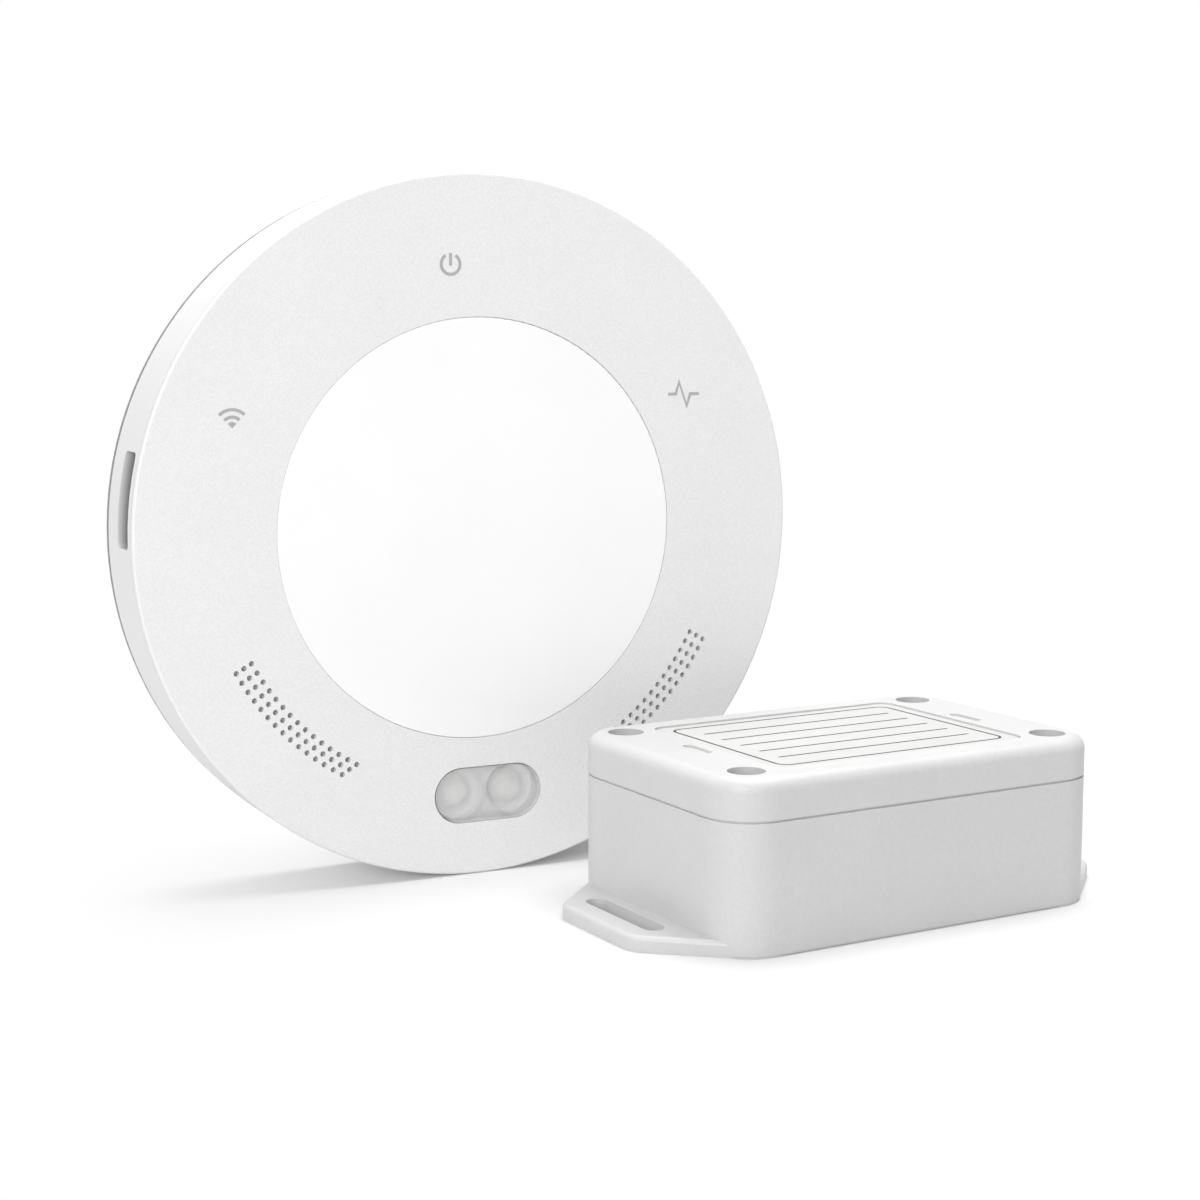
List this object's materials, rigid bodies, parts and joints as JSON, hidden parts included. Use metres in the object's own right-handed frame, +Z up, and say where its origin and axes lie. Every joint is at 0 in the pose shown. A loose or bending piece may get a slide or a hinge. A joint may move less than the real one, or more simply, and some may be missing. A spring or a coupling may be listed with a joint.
{
  "type": "garage door controller",
  "caption": "Round wall controller for a garage door with sirens, a warning lamp and a power slot in its rim, and its flanged wireless door sensor box.",
  "frame": {"origin": "on the surface that the set stands on, under the middle of the set's bounding box", "axes": "+Z up; the controller's face looks along -Y and its wall side along +Y; +X to the right of the face"},
  "size_m": [0.1538, 0.0836, 0.12],
  "materials": {
    "white_grain": "fine blasted grain",
    "white_gloss": "smooth gloss",
    "grey_cover": "moulded matt",
    "box_white": "moulded satin",
    "frosted": "frosted, lets light through",
    "steel": "zinc plated",
    "cell_steel": "plated can",
    "aluminium": "drawn can",
    "brass": "bright",
    "board": "solder resist",
    "terminal_plastic": "moulded",
    "black_plastic": "moulded matt",
    "mesh": "woven acoustic mesh",
    "rubber": "moulded"
  },
  "bodies": {
    "controller": {"face_ring": "white_grain", "centre_cap": "white_gloss", "rear_cover": "grey_cover", "case_screws": "steel", "main_board": "board", "board_screws": "steel", "warning_lens": "frosted", "lamp_reflector": "white_gloss", "warning_lamps": "frosted", "status_light_guides": "frosted", "status_leds": "white_gloss", "siren_left": "black_plastic", "siren_right": "black_plastic", "grille_meshes": "mesh", "door_relay": "black_plastic", "terminal_block": "terminal_plastic", "power_socket": "steel", "radio_module": "steel", "antenna": "brass", "capacitors": "aluminium", "reset_switch": "black_plastic"},
    "reset_button": {"reset_button": "white_gloss"},
    "sensor": {"sensor_base": "box_white", "sensor_lid": "box_white", "lid_gasket": "rubber", "lid_screws": "steel", "sensor_board": "board", "sensor_board_screws": "steel", "battery_holder": "black_plastic", "battery_cells": "cell_steel", "battery_contacts": "brass", "tilt_switch": "steel", "pair_switch": "black_plastic", "sensor_radio": "steel", "sensor_antenna": "white_gloss", "sensor_led": "white_gloss"},
    "pair_button": {"pair_button": "white_gloss"},
    "tilt_ball": {"tilt_ball": "brass"}
  },
  "joints": [
    {"name": "reset_press", "type": "slide", "parent": "controller", "child": "reset_button", "axis": [0, -1, 0], "range_m": [0, 0.0004], "stiffness_N_per_m": 400},
    {"name": "sensor_place", "type": "slide", "parent": "controller", "child": "sensor", "axis": [1, 0, 0], "range_m": [0, 0.15]},
    {"name": "pair_press", "type": "slide", "parent": "sensor", "child": "pair_button", "axis": [0, 0, -1], "range_m": [0, 0.0004], "stiffness_N_per_m": 400},
    {"name": "tilt_roll", "type": "slide", "parent": "sensor", "child": "tilt_ball", "axis": [0, 0, 1], "range_m": [0, 0.0042]}
  ]
}
